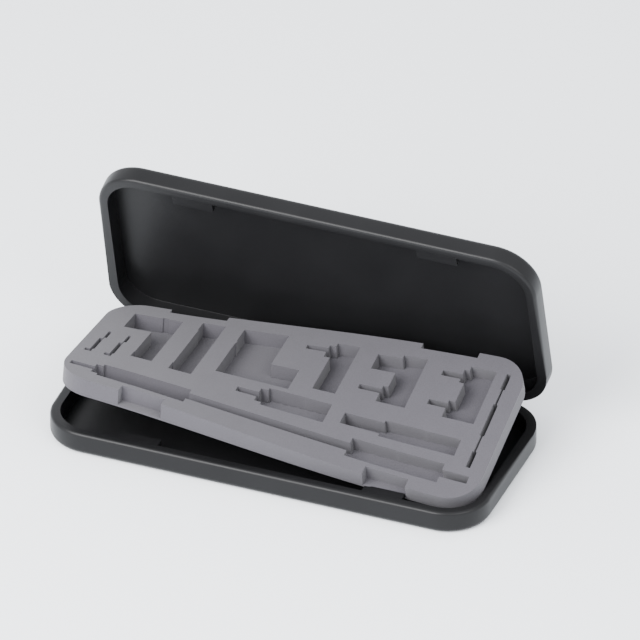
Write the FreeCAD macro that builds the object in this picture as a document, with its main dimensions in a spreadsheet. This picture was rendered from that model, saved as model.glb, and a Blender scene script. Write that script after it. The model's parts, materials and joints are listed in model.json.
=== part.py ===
import FreeCAD, Part
import math
import os

import Sketcher

# A hinged, pocket-sized case for an interchangeable needle set. Two rounded shells turn on two pinned
# knuckle hinges along the back, a pair of magnet blocks inside the front walls holds them shut, and a
# foam insert with tool-shaped pockets belongs in the tray. At rest the insert stands sprung out of it,
# tipped up at the back and twisted along its length.
# Frame: origin under the middle of the base, +X along the case, +Y to the hinge side, +Z up.

SIZES = [
    ("case_length", 210.0, "outside length of both shells"),
    ("case_width", 94.0, "outside width of both shells"),
    ("case_corner", 20.5, "outside corner radius in plan"),
    ("case_wall", 4.6, "side wall of both shells"),
    ("edge_round", 3.0, "rounding of the outer bottom and top edges"),
    ("base_height", 11.0, "base, underside to rim"),
    ("base_floor", 1.3, "floor of the base"),
    ("parting_gap", 0.3, "gap between the two rims when shut"),
    ("lid_height", 10.2, "lid, rim to top"),
    ("lid_plate", 1.4, "top plate of the lid"),
    ("lid_open", 75.7, "opening angle of the lid at rest"),
    ("hinge_offset", 60.6, "hinge centre from the middle of the case"),
    ("hinge_width", 27.0, "one hinge along the case"),
    ("hinge_back", 0.2, "hinge axis behind the back wall"),
    ("knuckle_radius", 2.6, "outside radius of the knuckles"),
    ("knuckle_gap", 0.3, "play round and beside a knuckle"),
    ("lid_knuckle", 10.4, "middle knuckle, part of the lid"),
    ("pin_radius", 0.8, "hinge pin"),
    ("pin_play", 0.05, "play of the pin in the lid knuckle"),
    ("pin_inset", 0.5, "pin end inside the knuckle end"),
    ("boss_width", 26.0, "thickening of the back wall behind a hinge"),
    ("boss_depth", 3.0, "depth of that thickening"),
    ("block_offset", 58.5, "closing block centre from the middle of the case"),
    ("block_length", 19.2, "closing block along the case"),
    ("block_depth", 5.2, "closing block, into the tray"),
    ("base_block_height", 6.2, "base closing block, up and down"),
    ("base_block_drop", 0.4, "base block top below the base rim"),
    ("lid_block_inset", 0.3, "lid block face inside the lid rim"),
    ("magnet_length", 12.0, "bar magnet"),
    ("magnet_width", 3.0, "bar magnet"),
    ("magnet_thick", 4.0, "bar magnet, up and down"),
    ("magnet_cover", 1.6, "plastic between a magnet and the other block"),
    ("end_clearance", 0.4, "insert to case wall at each end"),
    ("side_clearance", 1.4, "insert to case wall at front and back"),
    ("insert_corner", 15.6, "corner radius of the insert"),
    ("insert_lift", 0.3, "backing sheet above the floor when seated"),
    ("backing_thick", 1.0, "backing sheet"),
    ("foam_thick", 7.4, "cut-out layer"),
    ("middle_gap", 0.3, "gap between the left and right halves"),
    ("notch_play", 0.7, "notch beside a boss or block"),
    ("front_notch_play", 1.0, "front notch beyond a closing block"),
    ("seat_tilt", 20.2, "tilt of the insert at rest"),
    ("seat_yaw", 2.1, "tilt axis, turned in plan from the case's length"),
    ("seat_pivot_out", 10.4, "tilt axis in front of the seated insert"),
    ("seat_pivot_up", 7.7, "tilt axis above the seated insert"),
    ("twist", 30.7, "twist between the two halves at rest"),
]


def stepped(middle, sections):
    """Outline of a pocket along X made of (start, end, half width) sections on one middle line."""
    upper = []
    lower = []
    for start, end, half in sections:
        upper += [(start, middle + half), (end, middle + half)]
        lower += [(start, middle - half), (end, middle - half)]
    return upper + lower[::-1]


# Corners of each tool pocket, in hundredths of the insert's length (along X) and of its width (along Y).
LONG_TOOL = stepped(-34.4, [(-48.4, -42.8, 1.9), (-42.8, -41.2, 4.9), (-41.2, -33.1, 6.8),
                            (-33.1, -20.2, 6.6), (-20.2, 18.5, 2.9), (18.5, 29.0, 6.9),
                            (29.0, 40.6, 6.7), (40.6, 47.1, 2.5)])
SHORT_TOOL = stepped(-15.2, [(-11.4, -6.3, 2.1), (-6.3, -4.6, 5.7), (-4.6, 4.0, 7.7), (4.0, 10.5, 7.5)])
THREADER = stepped(-15.3, [(14.1, 23.6, 4.2), (23.6, 33.2, 6.0), (33.2, 41.8, 5.8)])
NEEDLE_SLOT_1 = [(-46.2, 11.1), (-45.5, 11.1), (-45.5, 2.6), (-46.0, 2.6), (-46.0, -13.2), (-46.3, -13.2),
                 (-46.3, -16.7), (-48.0, -16.7), (-48.0, -13.9), (-46.9, -13.9), (-46.9, 1.2), (-46.2, 1.2)]
NEEDLE_SLOT_2 = [(x + 4.7, y) for x, y in NEEDLE_SLOT_1]
ANGLED_HANDLE = [(-44.1, 38.2), (-37.4, 38.2), (-37.4, 38.9), (-36.0, 38.9), (-36.0, 38.2),
                 (-32.6, 38.2), (-32.6, -10.8), (-37.7, -10.8), (-37.7, -4.9), (-37.5, -4.9),
                 (-37.5, 20.3), (-44.1, 20.3)]
STRAIGHT_HANDLE = [(-28.2, 40.5), (-22.7, 40.5), (-22.7, -13.5), (-28.2, -13.5), (-28.2, -6.5),
                   (-28.0, -6.5), (-28.0, 32.1), (-28.2, 32.1)]
SCISSORS = [(-18.2, 40.2), (-7.5, 40.2), (-7.5, 12.8), (-0.7, 12.8), (-0.7, -4.5), (-18.2, -4.5),
            (-18.2, 25.6), (-18.0, 25.6), (-18.0, 28.1), (-18.2, 28.1)]
FINE_HEAD = [(-2.2, 35.2), (2.8, 35.2), (2.8, 37.6), (4.3, 37.6), (4.3, 40.1), (9.8, 40.1), (9.8, 0.7),
             (4.3, 0.7), (4.3, 27.6), (2.8, 27.6), (2.8, 31.8), (-2.2, 31.8)]
MIDDLE_HEAD = [(14.6, 36.9), (20.5, 36.9), (20.5, 39.2), (26.3, 39.2), (26.3, 2.4), (19.3, 2.4),
               (19.3, 8.7), (14.0, 8.7), (14.0, 12.2), (19.3, 12.2), (19.3, 14.5), (20.5, 14.5),
               (20.5, 25.3), (14.6, 25.3)]
BROAD_HEAD = [(30.8, 33.9), (35.5, 33.9), (35.5, 37), (36.7, 37), (36.7, 39.8), (42.9, 39.8),
              (42.9, 2.4), (35.2, 2.4), (35.2, 8.7), (30.7, 8.7), (30.7, 12.4), (35.2, 12.4),
              (35.2, 14.5), (36.7, 14.5), (36.7, 27.7), (35.5, 27.7), (35.5, 30.2), (30.8, 30.2)]
END_SLOT = [(45.3, 39.8), (46.4, 39.8), (46.4, 28.9), (46.1, 28.9), (46.1, 18.3), (46.4, 18.3),
            (46.4, -3.9), (46.1, -3.9), (46.1, -14.9), (46.4, -14.9), (46.4, -26.3), (45.3, -26.3),
            (45.3, -14.9), (45.6, -14.9), (45.6, -3.9), (45.3, -3.9), (45.3, 18.3), (45.6, 18.3),
            (45.6, 28.9), (45.3, 28.9)]
POCKETS = {
    -1: [LONG_TOOL, SHORT_TOOL, NEEDLE_SLOT_1, NEEDLE_SLOT_2, ANGLED_HANDLE, STRAIGHT_HANDLE, SCISSORS,
         FINE_HEAD],
    1: [LONG_TOOL, SHORT_TOOL, THREADER, FINE_HEAD, MIDDLE_HEAD, BROAD_HEAD, END_SLOT],
}
SIDE_NAME = {-1: "left", 1: "right"}
LEAST_CUT = 0.01
SAME_HEIGHT = 1e-6
PAST_EDGE = 1

INNER_LENGTH = "(Sizes.case_length - 2 * Sizes.case_wall)"
INNER_WIDTH = "(Sizes.case_width - 2 * Sizes.case_wall)"
INNER_CORNER = "(Sizes.case_corner - Sizes.case_wall)"
INSERT_LENGTH = f"({INNER_LENGTH} - 2 * Sizes.end_clearance)"
INSERT_WIDTH = f"({INNER_WIDTH} - 2 * Sizes.side_clearance)"
LID_RIM = "(Sizes.base_height + Sizes.parting_gap)"
HINGE_Y = "(Sizes.case_width / 2 + Sizes.hinge_back)"
HINGE_Z = "(Sizes.base_height + Sizes.parting_gap / 2)"
RELIEF_RADIUS = "(Sizes.knuckle_radius + Sizes.knuckle_gap)"
LID_BORE_RADIUS = "(Sizes.pin_radius + Sizes.pin_play)"
BACKING_BOTTOM = "(Sizes.base_floor + Sizes.insert_lift)"
FOAM_BOTTOM = f"({BACKING_BOTTOM} + Sizes.backing_thick)"
BASE_BLOCK_BOTTOM = "(Sizes.base_height - Sizes.base_block_drop - Sizes.base_block_height)"
LID_BLOCK_BOTTOM = f"({LID_RIM} + Sizes.lid_block_inset)"
BASE_MAGNET_TOP = "(Sizes.base_height - Sizes.base_block_drop - Sizes.magnet_cover)"
LID_MAGNET_BOTTOM = f"({LID_BLOCK_BOTTOM} + Sizes.magnet_cover)"

doc = FreeCAD.newDocument("NeedleCase")
sheet = doc.addObject("Spreadsheet::Sheet", "Sizes")
for row, (alias, number, note) in enumerate(SIZES, 1):
    sheet.set(f"A{row}", alias)
    sheet.set(f"B{row}", str(number))
    sheet.setAlias(f"B{row}", alias)
    sheet.set(f"C{row}", note)
doc.recompute()
reader = doc.addObject("App::FeaturePython", "Reader")


def worth(expression):
    """The number that an expression has now."""
    return float(reader.evalExpression(expression))


def new_body(label):
    body = doc.addObject("PartDesign::Body", label)
    body.Label = label
    return body


def new_sketch(body, name, level="0", role="XY_Plane"):
    """An empty sketch on one of the body's origin planes, moved along that plane's normal."""
    sketch = body.newObject("Sketcher::SketchObject", name)
    plane = next(item for item in body.Origin.OriginFeatures if item.Role == role)
    sketch.AttachmentSupport = (plane, "")
    sketch.MapMode = "FlatFace"
    sketch.setExpression("AttachmentOffset.Base.z", level)
    return sketch


def hold(sketch, kind, geometry, vertex, expression):
    """Fix one coordinate of a point of the sketch to an expression."""
    index = sketch.addConstraint(Sketcher.Constraint(kind, -1, 1, geometry, vertex, worth(expression)))
    sketch.setExpression(f"Constraints[{index}]", expression)


def draw_rounded(sketch, length, width, corner):
    """A rounded rectangle round the sketch's origin."""
    half_l, half_w, radius = worth(length) / 2, worth(width) / 2, worth(corner)
    inner_l, inner_w = half_l - radius, half_w - radius
    sides = [((-inner_l, -half_w), (inner_l, -half_w)), ((half_l, -inner_w), (half_l, inner_w)),
             ((inner_l, half_w), (-inner_l, half_w)), ((-half_l, inner_w), (-half_l, -inner_w))]
    for start, end in sides:
        sketch.addGeometry(Part.LineSegment(FreeCAD.Vector(*start, 0), FreeCAD.Vector(*end, 0)))
    centres = [(inner_l, -inner_w, 3), (inner_l, inner_w, 0), (-inner_l, inner_w, 1), (-inner_l, -inner_w, 2)]
    quarter = math.pi / 2
    for x, y, turn in centres:
        circle = Part.Circle(FreeCAD.Vector(x, y, 0), FreeCAD.Vector(0, 0, 1), radius)
        sketch.addGeometry(Part.ArcOfCircle(circle, turn * quarter, (turn + 1) * quarter))
    for side in range(4):
        arc = 4 + side
        sketch.addConstraint(Sketcher.Constraint("Tangent", side, 2, arc, 1))
        sketch.addConstraint(Sketcher.Constraint("Tangent", arc, 2, (side + 1) % 4, 1))
        sketch.addConstraint(Sketcher.Constraint("Vertical" if side % 2 else "Horizontal", side))
    for arc in (5, 6, 7):
        sketch.addConstraint(Sketcher.Constraint("Equal", 4, arc))
    index = sketch.addConstraint(Sketcher.Constraint("Radius", 4, radius))
    sketch.setExpression(f"Constraints[{index}]", corner)
    hold(sketch, "DistanceY", 0, 1, f"-{width} / 2")
    hold(sketch, "DistanceX", 1, 1, f"{length} / 2")
    hold(sketch, "DistanceY", 2, 1, f"{width} / 2")
    hold(sketch, "DistanceX", 3, 1, f"-{length} / 2")


def draw_square_cornered(sketch, corners):
    """A closed outline whose sides run in turn along X and along Y, through corners given as expressions."""
    first = sketch.GeometryCount
    count = len(corners)
    points = [FreeCAD.Vector(worth(x), worth(y), 0) for x, y in corners]
    along_x = corners[0][1] == corners[1][1]
    for index in range(count):
        sketch.addGeometry(Part.LineSegment(points[index], points[(index + 1) % count]))
    for index in range(count):
        side = first + index
        following = first + (index + 1) % count
        sketch.addConstraint(Sketcher.Constraint("Coincident", side, 2, following, 1))
        if (index % 2 == 0) == along_x:
            sketch.addConstraint(Sketcher.Constraint("Horizontal", side))
            hold(sketch, "DistanceY", side, 1, corners[index][1])
        else:
            sketch.addConstraint(Sketcher.Constraint("Vertical", side))
            hold(sketch, "DistanceX", side, 1, corners[index][0])


def draw_box(sketch, x_low, x_high, y_low, y_high):
    draw_square_cornered(sketch, [(x_low, y_low), (x_high, y_low), (x_high, y_high), (x_low, y_high)])


def draw_circle(sketch, x, y, radius):
    centre = FreeCAD.Vector(worth(x), worth(y), 0)
    circle = sketch.addGeometry(Part.Circle(centre, FreeCAD.Vector(0, 0, 1), worth(radius)))
    hold(sketch, "DistanceX", circle, 3, x)
    hold(sketch, "DistanceY", circle, 3, y)
    index = sketch.addConstraint(Sketcher.Constraint("Radius", circle, worth(radius)))
    sketch.setExpression(f"Constraints[{index}]", radius)


def pad(body, sketch, length, midplane=False):
    """Add material from the sketch along its normal, or to both sides of it."""
    feature = body.newObject("PartDesign::Pad", f"{sketch.Name}_pad")
    feature.Profile = sketch
    feature.Midplane = midplane
    feature.setExpression("Length", length)
    sketch.Visibility = False
    doc.recompute()
    return feature


def cut(body, sketch, length, midplane=False):
    """Take material away from the sketch along its normal, or to both sides, and prove that it cut."""
    before = body.Shape.Volume
    feature = body.newObject("PartDesign::Pocket", f"{sketch.Name}_cut")
    feature.Profile = sketch
    feature.Midplane = midplane
    feature.Reversed = not midplane
    feature.setExpression("Length", length)
    sketch.Visibility = False
    doc.recompute()
    if body.Shape.Volume > before - LEAST_CUT:
        raise RuntimeError(f"{feature.Name} cut nothing")
    return feature


def round_outer_edge(body, level):
    """Round every edge of the body that lies at one height."""
    height = worth(level)
    shaped = body.Tip
    names = []
    for number, edge in enumerate(body.Shape.Edges, 1):
        if max(abs(vertex.Point.z - height) for vertex in edge.Vertexes) < SAME_HEIGHT:
            names.append(f"Edge{number}")
    feature = body.newObject("PartDesign::Fillet", f"{body.Name}_round")
    feature.Base = (shaped, names)
    feature.setExpression("Radius", "Sizes.edge_round")
    doc.recompute()


def hinge_feature(body, name, middle, radius, width, action):
    """A round feature on the hinge axis, centred on one place along the case."""
    sketch = new_sketch(body, name, middle, "YZ_Plane")
    draw_circle(sketch, HINGE_Y, HINGE_Z, radius)
    action(body, sketch, width, midplane=True)


def block_sketch(body, name, side, level, length, y_low, y_high):
    """A rectangle on a closing block, centred along the case on the block."""
    sketch = new_sketch(body, name, level)
    middle = f"{side} * Sizes.block_offset"
    draw_box(sketch, f"{middle} - {length} / 2", f"{middle} + {length} / 2", y_low, y_high)
    return sketch


FRONT_INNER = f"(-{INNER_WIDTH} / 2)"
BACK_INNER = f"({INNER_WIDTH} / 2)"
IN_WALL = "Sizes.case_wall / 2"
MAGNET_LOW = f"({FRONT_INNER} + (Sizes.block_depth - Sizes.magnet_width) / 2)"
MAGNET_HIGH = f"({MAGNET_LOW} + Sizes.magnet_width)"


def build_shell(label, outer_level, low_level, height, cavity_level, cavity_depth):
    """The features that the base and the lid share: a rounded tray with its outer edge rounded."""
    body = new_body(label)
    outline = new_sketch(body, f"{label}_outline", low_level)
    draw_rounded(outline, "Sizes.case_length", "Sizes.case_width", "Sizes.case_corner")
    pad(body, outline, height)
    round_outer_edge(body, outer_level)
    cavity = new_sketch(body, f"{label}_cavity", cavity_level)
    draw_rounded(cavity, INNER_LENGTH, INNER_WIDTH, INNER_CORNER)
    cut(body, cavity, cavity_depth)
    return body


def add_closing_block(body, side, level, height, pocket_level, pocket_height):
    """A block inside the front wall, hollow for its magnet."""
    tag = f"{body.Name}_{SIDE_NAME[side]}"
    block = block_sketch(body, f"{tag}_block", side, level, "Sizes.block_length",
                         f"{FRONT_INNER} - {IN_WALL}", f"{FRONT_INNER} + Sizes.block_depth")
    pad(body, block, height)
    pocket = block_sketch(body, f"{tag}_magnet_pocket", side, pocket_level, "Sizes.magnet_length",
                          MAGNET_LOW, MAGNET_HIGH)
    cut(body, pocket, pocket_height)


def add_hinge_boss(body, side, level, height):
    """The back wall made thicker behind a hinge, where the knuckle relief thins it."""
    boss = new_sketch(body, f"{body.Name}_{SIDE_NAME[side]}_boss", level)
    middle = f"{side} * Sizes.hinge_offset"
    draw_box(boss, f"{middle} - Sizes.boss_width / 2", f"{middle} + Sizes.boss_width / 2",
             f"{BACK_INNER} - Sizes.boss_depth", f"{BACK_INNER} + {IN_WALL}")
    pad(body, boss, height)


def build_base():
    """Lower tray with the outer hinge knuckles."""
    depth = "(Sizes.base_height - Sizes.base_floor)"
    body = build_shell("base_shell", "0", "0", "Sizes.base_height", "Sizes.base_floor", depth)
    relief = "(Sizes.lid_knuckle + 2 * Sizes.knuckle_gap)"
    pocket_height = "(Sizes.base_block_height - Sizes.magnet_cover)"
    for side in (-1, 1):
        add_hinge_boss(body, side, "Sizes.base_floor", depth)
        add_closing_block(body, side, BASE_BLOCK_BOTTOM, "Sizes.base_block_height",
                          BASE_BLOCK_BOTTOM, pocket_height)
        tag = f"base_{SIDE_NAME[side]}"
        middle = f"{side} * Sizes.hinge_offset"
        hinge_feature(body, f"{tag}_knuckle", middle, "Sizes.knuckle_radius", "Sizes.hinge_width", pad)
        hinge_feature(body, f"{tag}_relief", middle, RELIEF_RADIUS, relief, cut)
        hinge_feature(body, f"{tag}_bore", middle, "Sizes.pin_radius", "Sizes.hinge_width", cut)
    return body


def build_lid():
    """Upper shell with the middle hinge knuckles, drawn shut and then turned open."""
    depth = "(Sizes.lid_height - Sizes.lid_plate)"
    top = f"({LID_RIM} + Sizes.lid_height)"
    body = build_shell("lid_shell", top, LID_RIM, "Sizes.lid_height", LID_RIM, depth)
    block_height = f"({depth} - Sizes.lid_block_inset + Sizes.lid_plate / 2)"
    relief_width = "(Sizes.hinge_width / 2 + Sizes.knuckle_gap - Sizes.lid_knuckle / 2)"
    relief_offset = "(Sizes.hinge_width / 2 + Sizes.knuckle_gap + Sizes.lid_knuckle / 2) / 2"
    for side in (-1, 1):
        add_closing_block(body, side, LID_BLOCK_BOTTOM, block_height,
                          LID_MAGNET_BOTTOM, "Sizes.magnet_thick")
        tag = f"lid_{SIDE_NAME[side]}"
        middle = f"{side} * Sizes.hinge_offset"
        hinge_feature(body, f"{tag}_knuckle", middle, "Sizes.knuckle_radius", "Sizes.lid_knuckle", pad)
        for end in (-1, 1):
            place = f"{middle} + {end} * {relief_offset}"
            name = f"{tag}_relief_{SIDE_NAME[end]}"
            hinge_feature(body, name, place, RELIEF_RADIUS, relief_width, cut)
        hinge_feature(body, f"{tag}_bore", middle, LID_BORE_RADIUS, "Sizes.hinge_width", cut)
    return body


def turn_about(point, axis, angle):
    return FreeCAD.Placement(FreeCAD.Vector(0, 0, 0), FreeCAD.Rotation(axis, angle), point)


def lid_pose():
    """Opening turn of the lid about the hinge axis."""
    pivot = FreeCAD.Vector(0, worth(HINGE_Y), worth(HINGE_Z))
    return turn_about(pivot, FreeCAD.Vector(-1, 0, 0), worth("Sizes.lid_open"))


def insert_pose(side):
    """Rest pose of one half of the insert: tilted about the seat axis, the left half also twisted."""
    yaw = FreeCAD.Rotation(FreeCAD.Vector(0, 0, 1), worth("Sizes.seat_yaw"))
    axis = yaw.multVec(FreeCAD.Vector(1, 0, 0))
    top = worth(f"{FOAM_BOTTOM} + Sizes.foam_thick")
    front = worth(f"{INSERT_WIDTH} / 2 + Sizes.seat_pivot_out")
    pivot = FreeCAD.Vector(0, -front, top + worth("Sizes.seat_pivot_up"))
    tilt = turn_about(pivot, axis, worth("Sizes.seat_tilt"))
    if side > 0:
        return tilt
    middle = FreeCAD.Vector(0, 0, worth(f"({BACKING_BOTTOM} + {FOAM_BOTTOM} + Sizes.foam_thick) / 2"))
    return tilt.multiply(turn_about(middle, FreeCAD.Vector(-1, 0, 0), worth("Sizes.twist")))


def insert_half(label, side, level, thickness):
    """One half of an insert layer: rounded slab, cut at the middle, with notches for bosses and blocks."""
    body = new_body(label)
    outline = new_sketch(body, f"{label}_outline", level)
    draw_rounded(outline, INSERT_LENGTH, INSERT_WIDTH, "Sizes.insert_corner")
    pad(body, outline, thickness)
    trim = new_sketch(body, f"{label}_trim", level)
    near = f"{side} * Sizes.middle_gap / 2"
    far = f"{-side} * {INSERT_LENGTH}"
    low, high = (far, near) if side > 0 else (near, far)
    draw_box(trim, low, high, f"-{INSERT_WIDTH}", INSERT_WIDTH)
    cut(body, trim, thickness)
    notches = new_sketch(body, f"{label}_notches", level)
    boss = f"{side} * Sizes.hinge_offset"
    boss_half = "(Sizes.boss_width / 2 + Sizes.notch_play)"
    draw_box(notches, f"{boss} - {boss_half}", f"{boss} + {boss_half}",
             f"{INSERT_WIDTH} / 2 - Sizes.boss_depth", f"{INSERT_WIDTH} / 2 + {PAST_EDGE}")
    block = f"{side} * Sizes.block_offset"
    block_half = "(Sizes.block_length / 2 + Sizes.notch_play)"
    draw_box(notches, f"{block} - {block_half}", f"{block} + {block_half}",
             f"-{INSERT_WIDTH} / 2 - {PAST_EDGE}",
             f"{FRONT_INNER} + Sizes.block_depth + Sizes.front_notch_play")
    cut(body, notches, thickness)
    return body


def cut_pockets(body, side):
    """Tool pockets, right through the cut-out layer."""
    sketch = new_sketch(body, f"{body.Name}_pockets", FOAM_BOTTOM)
    for outline in POCKETS[side]:
        corners = [(f"{x} * {INSERT_LENGTH} / 100", f"{y} * {INSERT_WIDTH} / 100") for x, y in outline]
        draw_square_cornered(sketch, corners)
    cut(body, sketch, "Sizes.foam_thick")


def build_magnet(label, side, bottom):
    """Bar magnet on the middle line of its closing block."""
    magnet = doc.addObject("Part::Box", label)
    magnet.Label = label
    magnet.setExpression("Length", "Sizes.magnet_length")
    magnet.setExpression("Width", "Sizes.magnet_width")
    magnet.setExpression("Height", "Sizes.magnet_thick")
    corner = (f"{side} * Sizes.block_offset - Sizes.magnet_length / 2", MAGNET_LOW, bottom)
    magnet.Placement.Base = FreeCAD.Vector(*[worth(place) for place in corner])
    return magnet


def build_pin(label, side):
    """Steel pin, pressed into the outer knuckles and running in the lid's knuckle."""
    pin = doc.addObject("Part::Cylinder", label)
    pin.Label = label
    pin.setExpression("Radius", "Sizes.pin_radius")
    pin.setExpression("Height", "Sizes.hinge_width - 2 * Sizes.pin_inset")
    start = f"{side} * Sizes.hinge_offset - Sizes.hinge_width / 2 + Sizes.pin_inset"
    base = FreeCAD.Vector(worth(start), worth(HINGE_Y), worth(HINGE_Z))
    pin.Placement = FreeCAD.Placement(base, FreeCAD.Rotation(FreeCAD.Vector(0, 1, 0), 90))
    return pin


nodes = [build_base(), build_lid()]
nodes[1].Placement = lid_pose()
for side in (-1, 1):
    name = SIDE_NAME[side]
    foam = insert_half(f"foam_{name}", side, FOAM_BOTTOM, "Sizes.foam_thick")
    cut_pockets(foam, side)
    backing = insert_half(f"backing_{name}", side, BACKING_BOTTOM, "Sizes.backing_thick")
    for half in (foam, backing):
        half.Placement = insert_pose(side)
    base_magnet = build_magnet(f"base_magnet_{name}", side, f"{BASE_MAGNET_TOP} - Sizes.magnet_thick")
    lid_magnet = build_magnet(f"lid_magnet_{name}", side, LID_MAGNET_BOTTOM)
    lid_magnet.Placement = lid_pose().multiply(lid_magnet.Placement)
    nodes += [foam, backing, base_magnet, lid_magnet, build_pin(f"hinge_pin_{name}", side)]
doc.recompute()

for item in doc.Objects:
    if "Invalid" in item.State or "Error" in item.State:
        raise RuntimeError(f"{item.Name} failed: {item.State}")
os.makedirs("parts", exist_ok=True)
for node in nodes:
    shape = node.Shape
    if shape.isNull() or not shape.isValid() or len(shape.Solids) != 1:
        raise RuntimeError(f"{node.Label} is not one sound solid")
    shape.exportStep(f"parts/{node.Label}.step")
    box = shape.BoundBox
    print(f"{node.Label:20} {shape.Volume:10.1f} mm3  x {box.XMin:8.2f} {box.XMax:8.2f}"
          f"  y {box.YMin:8.2f} {box.YMax:8.2f}  z {box.ZMin:8.2f} {box.ZMax:8.2f}")
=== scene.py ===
import json
import math

import bmesh
import bpy
from mathutils import Matrix, Vector


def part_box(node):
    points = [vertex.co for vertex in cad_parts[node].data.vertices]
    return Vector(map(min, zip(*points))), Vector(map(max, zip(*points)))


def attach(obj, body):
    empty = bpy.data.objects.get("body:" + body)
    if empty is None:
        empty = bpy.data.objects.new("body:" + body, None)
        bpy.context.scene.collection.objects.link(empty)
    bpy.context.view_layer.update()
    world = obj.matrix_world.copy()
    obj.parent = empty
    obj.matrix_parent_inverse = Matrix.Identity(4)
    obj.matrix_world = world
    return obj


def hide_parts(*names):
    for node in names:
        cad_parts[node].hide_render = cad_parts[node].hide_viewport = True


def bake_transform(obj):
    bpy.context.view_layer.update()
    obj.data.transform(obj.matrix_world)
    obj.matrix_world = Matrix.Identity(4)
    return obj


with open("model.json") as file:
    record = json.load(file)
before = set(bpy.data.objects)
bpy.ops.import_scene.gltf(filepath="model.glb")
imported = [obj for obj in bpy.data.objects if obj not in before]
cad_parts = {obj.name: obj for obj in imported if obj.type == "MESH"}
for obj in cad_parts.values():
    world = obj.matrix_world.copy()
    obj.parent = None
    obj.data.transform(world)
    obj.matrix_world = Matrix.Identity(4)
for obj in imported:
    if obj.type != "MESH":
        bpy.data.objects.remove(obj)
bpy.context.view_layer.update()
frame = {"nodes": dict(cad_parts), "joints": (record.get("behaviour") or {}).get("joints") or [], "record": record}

# %% [markdown]
# The object is a flat hinged case for a needle set. Two black moulded shells turn on two pinned hinges,
# and a grey foam insert, which should lie in the tray, stands sprung out of it and twisted. The frame holds
# the hard parts where they really are, so this file only gives them their surfaces, and it makes the insert,
# because twisted foam is one smooth sheet and the frame has it as two stiff halves.

# %% Units and measured boxes
MM = 0.001
for node in sorted(frame["nodes"]):
    low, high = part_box(node)
    print(node, [round(v / MM, 1) for v in low], [round(v / MM, 1) for v in high])

# %% [markdown]
# Colours are picked as hex values, the way a screen shows them, while the shader wants linear light, so one
# function turns one into the other. A second function adds a shader node with its settings and links, which
# keeps each material short enough to read.

# %% Colour and node helpers
def linear(hex_colour):
    """Linear RGBA of an sRGB hex colour."""
    channels = [int(hex_colour[i:i + 2], 16) / 255 for i in (1, 3, 5)]
    return tuple(c / 12.92 if c <= 0.04045 else ((c + 0.055) / 1.055) ** 2.4 for c in channels) + (1.0,)


def add_node(tree, kind, settings=None, inputs=None, links=None):
    """Add a node; inputs are constants by socket name, links are sockets to plug in by socket name."""
    node = tree.nodes.new(kind)
    for name, value in (settings or {}).items():
        setattr(node, name, value)
    for name, value in (inputs or {}).items():
        node.inputs[name].default_value = value
    for name, socket in (links or {}).items():
        tree.links.new(socket, node.inputs[name])
    return node


def new_material(name):
    """An empty node material with its Principled shader and output."""
    material = bpy.data.materials.new(name)
    material.use_nodes = True
    tree = material.node_tree
    tree.nodes.clear()
    shader = add_node(tree, "ShaderNodeBsdfPrincipled")
    add_node(tree, "ShaderNodeOutputMaterial", links={"Surface": shader.outputs["BSDF"]})
    return material, tree, shader


print("helpers ready, mid grey is", round(linear("#808080")[0], 3))

# %% [markdown]
# The case is injection-moulded ABS from a lightly spark-eroded mould: a black that looks dark grey under a
# soft light, with a satin sheen and a grain too fine to see as dots. One flat value would look like a hole,
# so a fine noise gives the grain as bump, and broad faint patches of roughness and tone stand for handling.

# %% Moulded ABS
def moulded_abs():
    """Black satin ABS with the mould's grain."""
    material, tree, shader = new_material("moulded_black_abs")
    # ABS has an IOR of 1.53. The pits of the eroded skin hold back part of the reflection, which the low
    # specular level stands for.
    shader.inputs["IOR"].default_value = 1.53
    shader.inputs["Specular IOR Level"].default_value = 0.16
    # Such a grain is usually about 0.1 mm, too fine to show, so it is drawn coarser, at 0.25 mm.
    grain_mm = 0.25
    patch_mm = 24
    where = add_node(tree, "ShaderNodeTexCoord")
    grain = add_node(tree, "ShaderNodeTexNoise", inputs={"Scale": 1 / (grain_mm * MM), "Detail": 2.0},
                     links={"Vector": where.outputs["Object"]})
    wear = add_node(tree, "ShaderNodeTexNoise", inputs={"Scale": 1 / (patch_mm * MM), "Detail": 4.0},
                    links={"Vector": where.outputs["Object"]})
    rough = add_node(tree, "ShaderNodeMapRange", inputs={"To Min": 0.30, "To Max": 0.40},
                     links={"Value": wear.outputs["Fac"]})
    tone = add_node(tree, "ShaderNodeMixRGB",
                    inputs={"Color1": linear("#101011"), "Color2": linear("#161617")},
                    links={"Fac": wear.outputs["Fac"]})
    bump = add_node(tree, "ShaderNodeBump", inputs={"Strength": 0.12, "Distance": 0.05 * MM},
                    links={"Height": grain.outputs["Fac"]})
    tree.links.new(tone.outputs["Color"], shader.inputs["Base Color"])
    tree.links.new(rough.outputs["Result"], shader.inputs["Roughness"])
    tree.links.new(bump.outputs["Normal"], shader.inputs["Normal"])
    return material


ABS = moulded_abs()
print("made", ABS.name)
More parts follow.
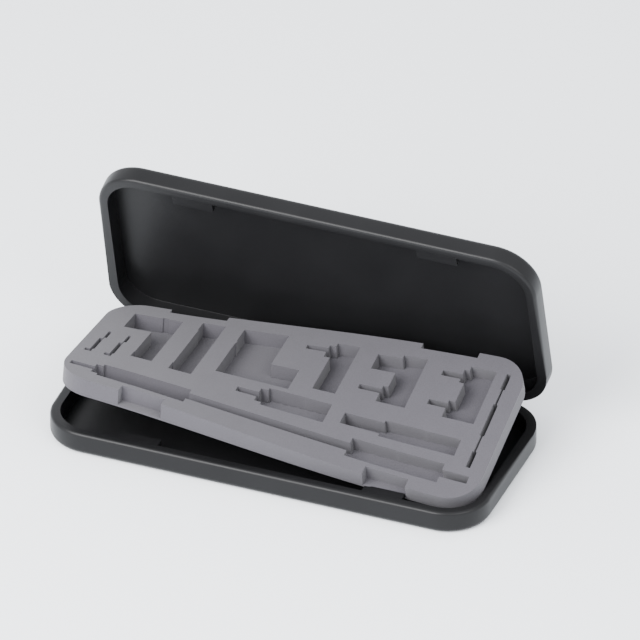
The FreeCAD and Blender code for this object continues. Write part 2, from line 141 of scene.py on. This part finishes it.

# %% [markdown]
# The insert is cross-linked polyethylene foam, cut by knife or laser: closed cells a few tenths of a
# millimetre across, a soft matt skin and slightly open walls where it is cut. Small Voronoi cells give the
# skin its pores, each pit painted darker as painted shade, and a broad noise gives the faint cloudiness that foam
# sheet always has.

# %% Closed-cell foam
def closed_cell_foam(name, light, dark, pore_mm):
    """Matt foam between two tones, with pores of one size whose pits are painted darker as shade."""
    material, tree, shader = new_material(name)
    # Foam has no gloss of its own: roughness near 1, a dash of sheen from the torn cell walls.
    shader.inputs["Roughness"].default_value = 0.93
    shader.inputs["IOR"].default_value = 1.4
    shader.inputs["Sheen Weight"].default_value = 0.15
    shader.inputs["Sheen Roughness"].default_value = 0.6
    cloud_mm = 9
    where = add_node(tree, "ShaderNodeTexCoord")
    cells = add_node(tree, "ShaderNodeTexVoronoi", inputs={"Scale": 1 / (pore_mm * MM)},
                     links={"Vector": where.outputs["Object"]})
    cloud = add_node(tree, "ShaderNodeTexNoise", inputs={"Scale": 1 / (cloud_mm * MM), "Detail": 5.0},
                     links={"Vector": where.outputs["Object"]})
    # Each pore is painted darker towards its middle, where the bump sinks: painted shade in the pits.
    pore_shade = add_node(tree, "ShaderNodeMapRange", inputs={"From Max": 0.55, "To Min": 0.75, "To Max": 0.15},
                    links={"Value": cells.outputs["Distance"]})
    both = add_node(tree, "ShaderNodeMath", {"operation": "MULTIPLY_ADD"}, {1: 0.35},
                    {0: cloud.outputs["Fac"], 2: pore_shade.outputs["Result"]})
    tone = add_node(tree, "ShaderNodeMixRGB", inputs={"Color1": linear(light), "Color2": linear(dark)},
                    links={"Fac": both.outputs["Value"]})
    bump = add_node(tree, "ShaderNodeBump", inputs={"Strength": 0.35, "Distance": 0.12 * MM},
                    links={"Height": cells.outputs["Distance"]})
    tree.links.new(tone.outputs["Color"], shader.inputs["Base Color"])
    tree.links.new(bump.outputs["Normal"], shader.inputs["Normal"])
    return material


FOAM = closed_cell_foam("polyethylene_foam_skin", "#434147", "#363439", 0.5)
BACKING = closed_cell_foam("polyethylene_foam_sheet", "#424046", "#353338", 0.6)
print("made", FOAM.name, BACKING.name)

# %% [markdown]
# The hinge pins are drawn steel wire and the magnets are nickel-plated bars. The pins show only at the ends
# of the knuckles and the magnets sit in pockets in the closing blocks, so one metal with its scratches along
# the case serves both, in two tones.

# %% Drawn and plated metal
def scratched_metal(name, tone_hex, roughness):
    """Metal of one tone with fine scratches along the case."""
    material, tree, shader = new_material(name)
    shader.inputs["Metallic"].default_value = 1.0
    scratch_mm = 0.3
    where = add_node(tree, "ShaderNodeTexCoord")
    along = add_node(tree, "ShaderNodeMapping", inputs={"Scale": (0.05, 1.0, 1.0)},
                     links={"Vector": where.outputs["Object"]})
    lines = add_node(tree, "ShaderNodeTexNoise", inputs={"Scale": 1 / (scratch_mm * MM), "Detail": 3.0},
                     links={"Vector": along.outputs["Vector"]})
    rough = add_node(tree, "ShaderNodeMapRange",
                     inputs={"To Min": roughness - 0.08, "To Max": roughness + 0.12},
                     links={"Value": lines.outputs["Fac"]})
    tone = add_node(tree, "ShaderNodeMixRGB",
                    inputs={"Color1": linear(tone_hex), "Color2": linear("#8d8d90")},
                    links={"Fac": lines.outputs["Fac"]})
    tree.links.new(rough.outputs["Result"], shader.inputs["Roughness"])
    tree.links.new(tone.outputs["Color"], shader.inputs["Base Color"])
    return material


STEEL = scratched_metal("drawn_steel_wire", "#b9b9bb", 0.35)
NICKEL = scratched_metal("plated_nickel_bar", "#cfcabf", 0.25)
for node, obj in frame["nodes"].items():
    finish = STEEL if node.startswith("hinge_pin") else NICKEL if "magnet" in node else ABS
    obj.data.materials.clear()
    obj.data.materials.append(finish)
print("materials:", [m.name for m in bpy.data.materials])

# %% [markdown]
# The lid stands open and the insert stands twisted, and both are easier to shape as they lie when the case is
# shut. How far to turn them comes from the frame's own joints: the lid's shut end of travel, times the ratio
# that couples the insert to it, is exactly the turn that brings each half of the insert back to flat.

# %% Turns that shut the case
JOINTS = {joint["name"]: joint for joint in frame["joints"]}
RATIOS = {c["joint"]: c["ratio"] for c in frame["record"]["behaviour"]["couplings"]}
SHUT = JOINTS["lid_hinge"]["range_deg"][0]


def turn(joint, degrees):
    """Matrix of a turn about a joint's axis, in the frame."""
    pivot = Vector(joint["pos_m"])
    spin = Matrix.Rotation(math.radians(degrees), 4, Vector(joint["axis"]))
    return Matrix.Translation(pivot) @ spin @ Matrix.Translation(-pivot)


LID_SHUT = turn(JOINTS["lid_hinge"], SHUT)
SEATED = turn(JOINTS["insert_seat"], RATIOS["insert_seat"] * SHUT)
RAISED = SEATED.inverted()
TWIST = RATIOS["insert_twist"] * SHUT
UNTWISTED = SEATED @ turn(JOINTS["insert_twist"], TWIST)
print("lid turn", round(SHUT, 1), "insert twist", round(TWIST, 1))

# %% [markdown]
# A moulded edge is never knife sharp: the mould leaves a few tenths of a millimetre of round, and that thin
# line of light is what tells the eye that a black part has thickness. The outer edge of the rim, which the
# hand finds to open the case, has a fuller round. It is bevelled in the mesh, on a flat rim, so the shell is
# turned shut for it. The round stops short of the hinges, whose reliefs cut into the same edge.

# %% Rim rounding
RIM_ROUND = 1.6 * MM
HINGE_MARGIN = 20 * MM
HINGE_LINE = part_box("hinge_pin_left")[0][1] - HINGE_MARGIN
LEVEL_SLACK = 0.02 * MM
UPRIGHT_SHARE = 0.9
SHARP = math.radians(32)


def round_rim(bm, level):
    """Round the rim's outer edge at one height, from hinge to hinge by way of the front."""
    rim = []
    for edge in bm.edges:
        middle = (edge.verts[0].co + edge.verts[1].co) / 2
        flat = all(abs(v.co.z - level) < LEVEL_SLACK for v in edge.verts)
        if flat and edge.is_manifold and middle.y < HINGE_LINE and edge.calc_face_angle(0) > SHARP:
            wall = min(edge.link_faces, key=lambda face: abs(face.normal.z))
            if wall.normal.dot(middle) > 0 and wall.normal.to_2d().length > UPRIGHT_SHARE:
                rim.append(edge)
    made = bmesh.ops.bevel(bm, geom=rim, offset=RIM_ROUND, offset_type="OFFSET", affect="EDGES", segments=4,
                           profile=0.5, material=-1, clamp_overlap=False)
    return len(made["faces"])


print("rims are rounded in front of y", round(HINGE_LINE / MM, 1))

# %% [markdown]
# Each shell is copied from its frame node and its loose triangles are merged into clean flat faces. After the
# rim is rounded, a Bevel modifier softens every other sharp edge. Copying keeps the hinge reliefs and the
# magnet pockets exactly where the hinge needs them.

# %% Shells with softened edges
EDGE_SOFT = 0.35 * MM
BASE_RIM = 11.0 * MM
PARTING_GAP = 0.3 * MM
MERGE = 0.001 * MM
SAME_PLANE = math.radians(0.5)


def softened_copy(node, name, body, shut, rim_level):
    """A merged, bevelled copy of a frame node that stands in for it."""
    mesh = frame["nodes"][node].data.copy()
    mesh.name = name
    bm = bmesh.new()
    bm.from_mesh(mesh)
    bmesh.ops.remove_doubles(bm, verts=bm.verts, dist=MERGE)
    bmesh.ops.dissolve_limit(bm, angle_limit=SAME_PLANE, verts=bm.verts, edges=bm.edges)
    bm.transform(shut)
    bm.normal_update()
    rounded = round_rim(bm, rim_level)
    bm.transform(shut.inverted())
    for face in bm.faces:
        face.smooth = True
    for edge in bm.edges:
        edge.smooth = edge.is_manifold and edge.calc_face_angle(0) < SHARP
    bm.to_mesh(mesh)
    print(name, "faces", len(bm.faces), "in the rim round", rounded,
          "closed", all(e.is_manifold for e in bm.edges),
          "volume cm3", round(bm.calc_volume(signed=True) * 1e6, 2))
    bm.free()
    obj = bpy.data.objects.new(name, mesh)
    bpy.context.scene.collection.objects.link(obj)
    mesh.materials.clear()
    mesh.materials.append(ABS)
    bevel = obj.modifiers.new("soft_edges", "BEVEL")
    bevel.width = EDGE_SOFT
    bevel.segments = 2
    bevel.limit_method = "ANGLE"
    bevel.angle_limit = SHARP
    bevel.harden_normals = True
    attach(obj, body)
    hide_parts(node)


softened_copy("base_shell", "base_tray", "base", Matrix.Identity(4), BASE_RIM)
softened_copy("lid_shell", "lid_cover", "lid", LID_SHUT, BASE_RIM + PARTING_GAP)

# %% [markdown]
# The insert is drawn flat, as it lies when seated, and then bent into its rest shape. Its size is read off
# the frame's two halves, each turned back to where it lies when the case is shut.

# %% Seated size of the insert
def seated_box(right, left):
    """Box of an insert layer when it lies flat, from its two frame halves."""
    points = [SEATED @ v.co for v in frame["nodes"][right].data.vertices]
    points += [UNTWISTED @ v.co for v in frame["nodes"][left].data.vertices]
    return [Vector([pick(p[i] for p in points) for i in range(3)]) for pick in (min, max)]


FOAM_LOW, FOAM_HIGH = seated_box("foam_right", "foam_left")
BACK_LOW, BACK_HIGH = seated_box("backing_right", "backing_left")
LENGTH, WIDTH = (FOAM_HIGH - FOAM_LOW).xy
print("seated foam", [round(v / MM, 2) for v in (*FOAM_LOW, *FOAM_HIGH)])

# %% [markdown]
# Each pocket is cut to the outline of one tool: a thin slot for the needle, a short collar and a wide grip.
# The corners are given in hundredths of the insert's length and width, so the drawing keeps its proportions.

# %% Pocket outlines
def stepped(middle, sections):
    """Outline of a pocket along X made of (start, end, half width) sections on one middle line."""
    upper = []
    lower = []
    for start, end, half in sections:
        upper += [(start, middle + half), (end, middle + half)]
        lower += [(start, middle - half), (end, middle - half)]
    return upper + lower[::-1]


NEEDLE_SLOT = [(-46.2, 11.1), (-45.5, 11.1), (-45.5, 2.6), (-46.0, 2.6), (-46.0, -13.2), (-46.3, -13.2),
               (-46.3, -16.7), (-48.0, -16.7), (-48.0, -13.9), (-46.9, -13.9), (-46.9, 1.2), (-46.2, 1.2)]
SLOT_SPACING = 4.7
POCKETS = {
    "long_tool": stepped(-34.4, [(-48.4, -42.8, 1.9), (-42.8, -41.2, 4.9), (-41.2, -33.1, 6.8),
                                 (-33.1, -20.2, 6.6), (-20.2, 18.5, 2.9), (18.5, 29.0, 6.9),
                                 (29.0, 40.6, 6.7), (40.6, 47.1, 2.5)]),
    "short_tool": stepped(-15.2, [(-11.4, -6.3, 2.1), (-6.3, -4.6, 5.7), (-4.6, 4.0, 7.7),
                                  (4.0, 10.5, 7.5)]),
    "threader": stepped(-15.3, [(14.1, 23.6, 4.2), (23.6, 33.2, 6.0), (33.2, 41.8, 5.8)]),
    "needle_slot_1": NEEDLE_SLOT,
    "needle_slot_2": [(x + SLOT_SPACING, y) for x, y in NEEDLE_SLOT],
    "angled_handle": [(-44.1, 38.2), (-37.4, 38.2), (-37.4, 38.9), (-36.0, 38.9), (-36.0, 38.2),
                      (-32.6, 38.2), (-32.6, -10.8), (-37.7, -10.8), (-37.7, -4.9), (-37.5, -4.9),
                      (-37.5, 20.3), (-44.1, 20.3)],
    "straight_handle": [(-28.2, 40.5), (-22.7, 40.5), (-22.7, -13.5), (-28.2, -13.5), (-28.2, -6.5),
                        (-28.0, -6.5), (-28.0, 32.1), (-28.2, 32.1)],
    "scissors": [(-18.2, 40.2), (-7.5, 40.2), (-7.5, 12.8), (-0.7, 12.8), (-0.7, -4.5), (-18.2, -4.5),
                 (-18.2, 25.6), (-18.0, 25.6), (-18.0, 28.1), (-18.2, 28.1)],
    "fine_head": [(-2.2, 35.2), (2.8, 35.2), (2.8, 37.6), (4.3, 37.6), (4.3, 40.1), (9.8, 40.1),
                  (9.8, 0.7), (4.3, 0.7), (4.3, 27.6), (2.8, 27.6), (2.8, 31.8), (-2.2, 31.8)],
    "middle_head": [(14.6, 36.9), (20.5, 36.9), (20.5, 39.2), (26.3, 39.2), (26.3, 2.4), (19.3, 2.4),
                    (19.3, 8.7), (14.0, 8.7), (14.0, 12.2), (19.3, 12.2), (19.3, 14.5), (20.5, 14.5),
                    (20.5, 25.3), (14.6, 25.3)],
    "broad_head": [(30.8, 33.9), (35.5, 33.9), (35.5, 37), (36.7, 37), (36.7, 39.8), (42.9, 39.8),
                   (42.9, 2.4), (35.2, 2.4), (35.2, 8.7), (30.7, 8.7), (30.7, 12.4), (35.2, 12.4),
                   (35.2, 14.5), (36.7, 14.5), (36.7, 27.7), (35.5, 27.7), (35.5, 30.2), (30.8, 30.2)],
    "end_slot": [(45.3, 39.8), (46.4, 39.8), (46.4, 28.9), (46.1, 28.9), (46.1, 18.3), (46.4, 18.3),
                 (46.4, -3.9), (46.1, -3.9), (46.1, -14.9), (46.4, -14.9), (46.4, -26.3), (45.3, -26.3),
                 (45.3, -14.9), (45.6, -14.9), (45.6, -3.9), (45.3, -3.9), (45.3, 18.3), (45.6, 18.3),
                 (45.6, 28.9), (45.3, 28.9)],
}
print(len(POCKETS), "pockets")

# %% [markdown]
# The outer outline is a rounded rectangle with four notches: two at the back that clear the hinge bosses and
# two at the front that clear the magnet blocks. The thin sheet under the foam needs no front notches, because
# it lies lower than the blocks do.

# %% Outer outline
CORNER = 15.6 * MM
CORNER_STEPS = 10
BACK_NOTCH = {"offset": 60.6 * MM, "half": 13.7 * MM, "depth": 3.0 * MM}
FRONT_NOTCH = {"offset": 58.5 * MM, "half": 10.3 * MM, "depth": 4.8 * MM}


def notch(edge_y, inward, data, centre_sign, direction):
    """Four points of a square notch in an edge that is walked in one direction along X."""
    centre = data["offset"] * centre_sign
    first, last = centre - data["half"] * direction, centre + data["half"] * direction
    inner = edge_y + inward * data["depth"]
    return [(first, edge_y), (first, inner), (last, inner), (last, edge_y)]


def outer_outline(with_front_notches):
    """Points of the insert's outline, walked anticlockwise from the front left."""
    half_l, half_w = LENGTH / 2, WIDTH / 2
    points = []
    if with_front_notches:
        for sign in (-1, 1):
            points += notch(-half_w, 1, FRONT_NOTCH, sign, 1)
    for corner, (cx, cy) in enumerate([(1, -1), (1, 1), (-1, 1), (-1, -1)]):
        if corner == 2:
            for sign in (1, -1):
                points += notch(half_w, -1, BACK_NOTCH, sign, -1)
        for step in range(CORNER_STEPS + 1):
            angle = math.radians(90 * (corner - 1) + 90 * step / CORNER_STEPS)
            points.append((cx * (half_l - CORNER) + CORNER * math.cos(angle),
                           cy * (half_w - CORNER) + CORNER * math.sin(angle)))
    return points


print("outline points: foam", len(outer_outline(True)), "backing", len(outer_outline(False)))

# %% [markdown]
# One fill makes the top face between the outline and the pockets, an extrusion gives it its thickness, and
# small bevels soften the cut edges. Then it is sliced across every few millimetres, because a face can only
# bend where it has vertices.

# %% Flat layers
SLICE = 4 * MM
CUT_SOFT = 0.15 * MM
POCKET_CORNER = 0.15 * MM
SQUARE_EDGE = math.radians(60)
COPLANAR = 0.01
SNAP = 1e-7


def closed_loop(bm, points, z):
    """Edges of a closed outline at one height."""
    verts = [bm.verts.new((x, y, z)) for x, y in points]
    return [bm.edges.new((verts[i], verts[(i + 1) % len(verts)])) for i in range(len(verts))]


def flat_layer(outlines, low, high):
    """A closed slab between two heights, with the first outline round it and the others cut through it."""
    bm = bmesh.new()
    edges = []
    for outline in outlines:
        edges += closed_loop(bm, outline, low)
    bmesh.ops.triangle_fill(bm, use_beauty=True, edges=edges)
    bmesh.ops.dissolve_limit(bm, angle_limit=COPLANAR, verts=bm.verts, edges=bm.edges)
    made = bmesh.ops.extrude_face_region(bm, geom=list(bm.faces))
    risen = [item for item in made["geom"] if isinstance(item, bmesh.types.BMVert)]
    bmesh.ops.translate(bm, verts=risen, vec=(0, 0, high - low))
    bmesh.ops.recalc_face_normals(bm, faces=bm.faces)
    uprights = [e for e in bm.edges if abs(e.verts[0].co.z - e.verts[1].co.z) > (high - low) / 2
                and e.calc_face_angle(0) > SQUARE_EDGE]
    bmesh.ops.bevel(bm, geom=uprights, offset=POCKET_CORNER, offset_type="OFFSET", affect="EDGES",
                    segments=3, profile=0.5, material=-1, clamp_overlap=True)
    rims = [e for e in bm.edges if min(v.co.z for v in e.verts) > high - SNAP
            and e.calc_face_angle(0) > SQUARE_EDGE]
    bmesh.ops.bevel(bm, geom=rims, offset=CUT_SOFT, offset_type="OFFSET", affect="EDGES", segments=2,
                    profile=0.5, material=-1, clamp_overlap=True)
    slices = int(LENGTH / SLICE)
    for index in range(1, slices):
        x = -LENGTH / 2 + LENGTH * index / slices
        bmesh.ops.bisect_plane(bm, geom=bm.verts[:] + bm.edges[:] + bm.faces[:], plane_co=(x, 0, 0),
                               plane_no=(1, 0, 0), dist=SNAP)
    return bm


print("slices across each layer:", int(LENGTH / SLICE))

# %% [markdown]
# To bend it, every vertex is turned about the twist axis by its share of the whole twist and then raised with
# the right-hand half. The share follows the same smooth curve that joins the two bodies, so when the lid
# shuts and both halves turn back, the sheet ends up flat in the tray.

# %% Twist and raise
REACH = 1.2 * LENGTH / 2
MIDDLE_Z = (BACK_LOW.z + FOAM_HIGH.z) / 2


def bent(point):
    """Rest place of a point of the flat, seated insert."""
    along = min(max((REACH - point.x) / (2 * REACH), 0), 1)
    share = along * along * (3 - 2 * along)
    spin = Matrix.Rotation(math.radians(-TWIST * share), 4, "X")
    centre = Vector((0, 0, MIDDLE_Z))
    return RAISED @ (spin @ (point - centre) + centre)


# %% [markdown]
# Both layers are made the same way. Only edges under a small angle are shaded smooth, or the light would
# bleed from the tiny bevels over the broad flat walls.

# %% Foam and backing
CUT_SHARP = math.radians(20)


def insert_layer(name, outlines, low, high, material, nodes):
    """One bent layer of the insert, standing in for its two frame halves."""
    bm = flat_layer(outlines, low, high)
    for vert in bm.verts:
        vert.co = bent(vert.co)
    for face in bm.faces:
        face.smooth = True
    for edge in bm.edges:
        edge.smooth = edge.is_manifold and edge.calc_face_angle(0) < CUT_SHARP
    print(name, "faces", len(bm.faces), "closed", all(e.is_manifold for e in bm.edges),
          "volume cm3", round(bm.calc_volume(signed=True) * 1e6, 2))
    mesh = bpy.data.meshes.new(name)
    bm.to_mesh(mesh)
    bm.free()
    obj = bpy.data.objects.new(name, mesh)
    bpy.context.scene.collection.objects.link(obj)
    mesh.materials.append(material)
    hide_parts(*nodes)
    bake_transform(obj)


scaled = [[(x * LENGTH / 100, y * WIDTH / 100) for x, y in outline] for outline in POCKETS.values()]
insert_layer("foam_insert", [outer_outline(True)] + scaled, FOAM_LOW.z, FOAM_HIGH.z, FOAM,
             ["foam_left", "foam_right"])
insert_layer("backing_sheet", [outer_outline(False)], BACK_LOW.z, BACK_HIGH.z, BACKING,
             ["backing_left", "backing_right"])

# %% [markdown]
# The case stands on a flat sheet of pale paper, wide enough to fill the view. It is a stage, not a piece.

# %% Floor
FLOOR_HALF = 3.0


def make_floor():
    """A flat sheet of pale paper under the case."""
    bm = bmesh.new()
    bmesh.ops.create_grid(bm, x_segments=1, y_segments=1, size=FLOOR_HALF)
    mesh = bpy.data.meshes.new("floor")
    bm.to_mesh(mesh)
    bm.free()
    floor = bpy.data.objects.new("floor", mesh)
    bpy.context.scene.collection.objects.link(floor)
    material, _, shader = new_material("pale_paper")
    shader.inputs["Roughness"].default_value = 0.9
    shader.inputs["Base Color"].default_value = linear("#f1f4f7")
    mesh.materials.append(material)


make_floor()
print("floor is", 2 * FLOOR_HALF, "m wide")

# %% [markdown]
# A black case shows its form by broad reflections, so most of the light comes from a bright surround. A large
# key light at the front left darkens the pocket walls that face right and lays a faint shadow behind, and a
# weaker fill from the right keeps that side readable.

# %% Lights
def soft_light(name, place, size, watts):
    """A square area light aimed at the origin."""
    data = bpy.data.lights.new(name, "AREA")
    data.size = size
    data.energy = watts
    lamp = bpy.data.objects.new(name, data)
    bpy.context.scene.collection.objects.link(lamp)
    lamp.location = place
    lamp.rotation_mode = "QUATERNION"
    lamp.rotation_quaternion = (-Vector(place)).to_track_quat("-Z", "Y")


soft_light("key", (-0.5, -1.0, 0.9), 1.0, 56)
soft_light("fill", (0.9, -0.5, 0.9), 0.9, 12)
world = bpy.data.worlds.new("studio")
world.use_nodes = True
surround = world.node_tree.nodes["Background"]
surround.inputs["Color"].default_value = linear("#f4f6fa")
surround.inputs["Strength"].default_value = 2.1
bpy.context.scene.world = world
print("lights:", [light.name for light in bpy.data.lights])

# %% [markdown]
# The camera looks along parallel lines, from the right of the front and from above, so that both shells and
# the twist of the insert show at once. Three directions are built from its two angles: towards the camera,
# to its right and up. The middle of the view is then a step to the right and a step up from the origin.

# %% Camera
VIEW_AZIMUTH, VIEW_ELEVATION = math.radians(21.2), math.radians(34.7)
VIEW_WIDTH = 0.28635
CENTRE_RIGHT, CENTRE_UP = 11.95 * MM, 52.66 * MM
VIEW_DISTANCE = 1.0
VIEW_LIMIT = 10

back = Vector((math.sin(VIEW_AZIMUTH) * math.cos(VIEW_ELEVATION),
               -math.cos(VIEW_AZIMUTH) * math.cos(VIEW_ELEVATION), math.sin(VIEW_ELEVATION)))
right = Vector((math.cos(VIEW_AZIMUTH), math.sin(VIEW_AZIMUTH), 0))
up = back.cross(right)
camera_data = bpy.data.cameras.new("camera")
camera_data.type = "ORTHO"
camera_data.ortho_scale = VIEW_WIDTH
camera_data.clip_end = VIEW_LIMIT
camera = bpy.data.objects.new("camera", camera_data)
bpy.context.scene.collection.objects.link(camera)
camera.rotation_mode = "QUATERNION"
camera.rotation_quaternion = (-back).to_track_quat("-Z", "Y")
camera.location = right * CENTRE_RIGHT + up * CENTRE_UP + back * VIEW_DISTANCE
bpy.context.scene.camera = camera
print("camera at", [round(v, 3) for v in camera.location])
